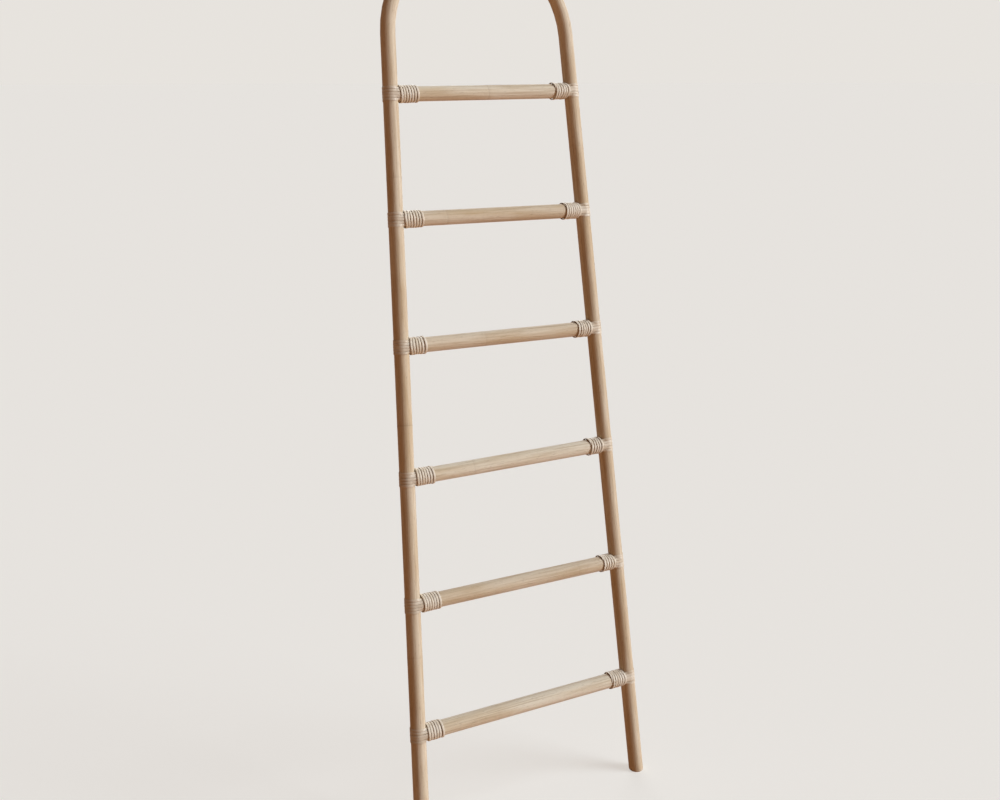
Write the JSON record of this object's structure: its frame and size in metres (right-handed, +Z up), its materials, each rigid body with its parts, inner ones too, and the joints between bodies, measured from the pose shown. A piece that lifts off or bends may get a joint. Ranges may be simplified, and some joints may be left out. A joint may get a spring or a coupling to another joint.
{
  "type": "blanket ladder",
  "caption": "Leaning ladder of bent rattan cane: an arched pole with round rungs, each joint bound with rattan peel, to hang blankets or towels on against a wall.",
  "frame": {"origin": "bottom centre of the bounding box: on the floor, midway between the two feet, and midway in depth between the feet and the wall", "axes": "X along the rungs, +Y towards the wall that the ladder leans on, +Z up; the ladder stands leaned back by 8.6 degrees, with its sawn feet flat on Z = 0"},
  "size_m": [0.5308, 0.2937, 1.7599],
  "materials": {
    "cane": "smooth natural rattan cane, sanded and left matt, with faint long fibres and a few node rings",
    "peel": "pale split rattan peel, satin on its outer skin",
    "nail": "bright flat-wire finishing nails"
  },
  "bodies": {
    "root": {"bent_pole": "cane", "rung_1": "cane", "rung_2": "cane", "rung_3": "cane", "rung_4": "cane", "rung_5": "cane", "rung_6": "cane", "straps_left_1": "peel", "straps_right_1": "peel", "straps_left_2": "peel", "straps_right_2": "peel", "straps_left_3": "peel", "straps_right_3": "peel", "straps_left_4": "peel", "straps_right_4": "peel", "straps_left_5": "peel", "straps_right_5": "peel", "straps_left_6": "peel", "straps_right_6": "peel", "wrap_left_1": "peel", "wrap_right_1": "peel", "wrap_left_2": "peel", "wrap_right_2": "peel", "wrap_left_3": "peel", "wrap_right_3": "peel", "wrap_left_4": "peel", "wrap_right_4": "peel", "wrap_left_5": "peel", "wrap_right_5": "peel", "wrap_left_6": "peel", "wrap_right_6": "peel", "rung_nails": "nail"}
  },
  "joints": []
}
